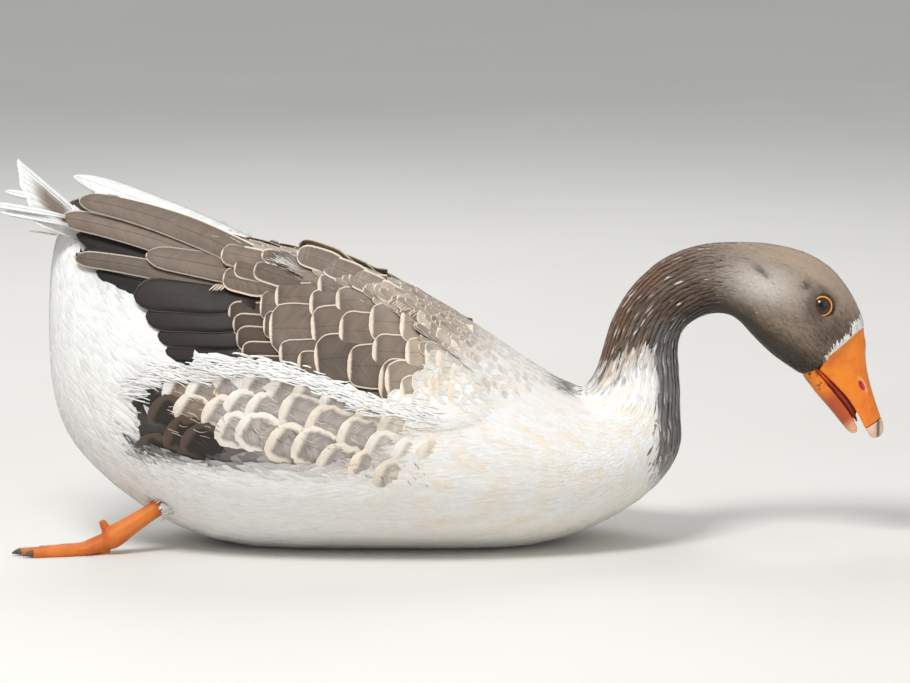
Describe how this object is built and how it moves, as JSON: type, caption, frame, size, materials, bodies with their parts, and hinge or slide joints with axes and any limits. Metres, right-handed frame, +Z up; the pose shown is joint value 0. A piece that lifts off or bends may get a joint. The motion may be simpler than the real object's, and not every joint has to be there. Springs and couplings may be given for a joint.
{
  "type": "domestic goose, still life-size model",
  "caption": "Grey-brown farm goose resting on its belly as if afloat, neck arched over and orange bill dipped towards the ground, wings folded.",
  "frame": {"origin": "middle of the flat under the belly, at the level it rests on", "axes": "+X towards the breast and bill, +Y to the bird's left, +Z up"},
  "size_m": [0.5987, 0.2514, 0.2569],
  "materials": {
    "plumage_white": "soft vaned feather, matt",
    "plumage_brown": "vaned feather with pale fringes, matt to silky",
    "plumage_dark": "short furrowed feather, matt",
    "bill": "smooth leathery skin over horn, satin",
    "nail": "horn, satin",
    "tongue": "damp",
    "eye": "wet and glossy",
    "leg": "scaled skin, satin",
    "claw": "horn"
  },
  "bodies": {
    "root": {"trunk": "plumage_white", "neck_base": "plumage_white", "neck_bend": "plumage_dark", "neck_nape": "plumage_dark", "head": "plumage_dark", "bill_upper": "bill", "bill_nail": "nail", "bill_lower": "bill", "tongue": "tongue", "eye_right": "eye", "eye_left": "eye", "wing_right": "plumage_brown", "wing_left": "plumage_brown", "tail": "plumage_white", "tail_edge_right": "plumage_white", "tail_edge_left": "plumage_white", "shank_right": "leg", "shank_left": "leg", "foot_right": "leg", "foot_left": "leg", "claw_right_inner": "claw", "claw_right_middle": "claw", "claw_right_outer": "claw", "claw_left_inner": "claw", "claw_left_middle": "claw", "claw_left_outer": "claw"}
  },
  "joints": []
}
